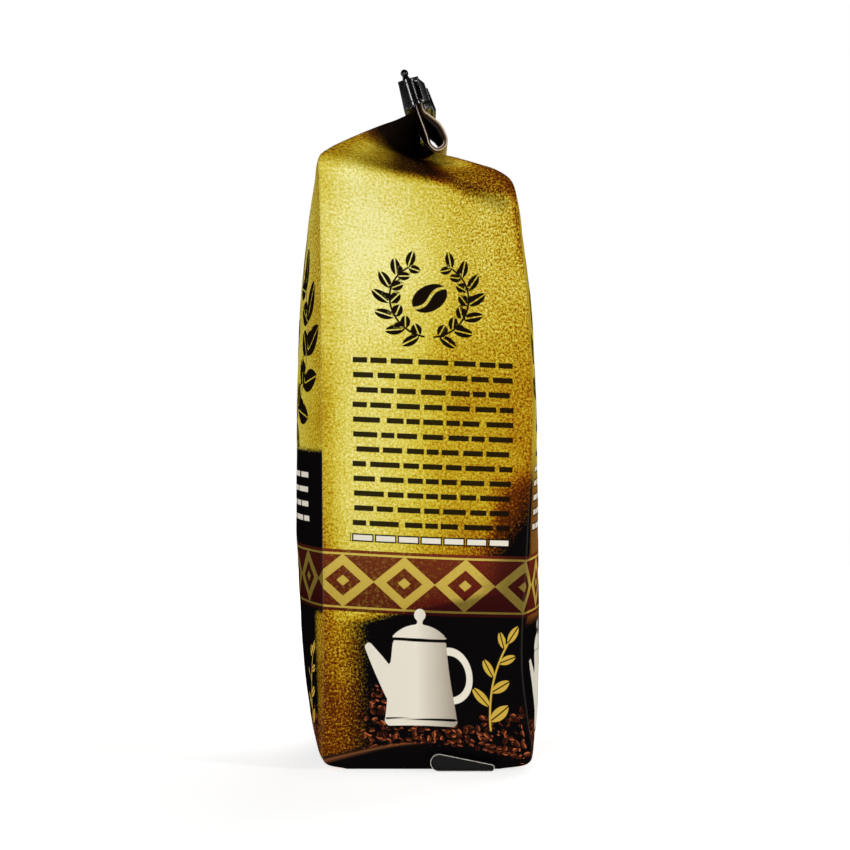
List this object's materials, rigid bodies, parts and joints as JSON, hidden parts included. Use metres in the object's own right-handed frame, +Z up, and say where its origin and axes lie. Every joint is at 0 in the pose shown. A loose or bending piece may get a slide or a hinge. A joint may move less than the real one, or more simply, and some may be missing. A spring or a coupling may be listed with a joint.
{
  "type": "side-gusset coffee bag with a bar clip",
  "caption": "Full side-gusset film bag of coffee, standing shut, with its top folded over, rolled and held by a black hinged bar clip.",
  "frame": {"origin": "on the surface the bag stands on, in the middle of the whole object's box", "axes": "+Z up; the front panel faces -Y and the back panel +Y; the gussets face +X and -X; the clip lies along X with its hinge at +X"},
  "size_m": [0.1086, 0.0773, 0.2132],
  "materials": {
    "printed_film": "satin laminate, printed",
    "clip_plastic": "gloss, moulded"
  },
  "bodies": {
    "root": {"bag": "printed_film", "clip_front_arm": "clip_plastic", "clip_back_arm": "clip_plastic", "clip_pin": "clip_plastic"}
  },
  "joints": []
}
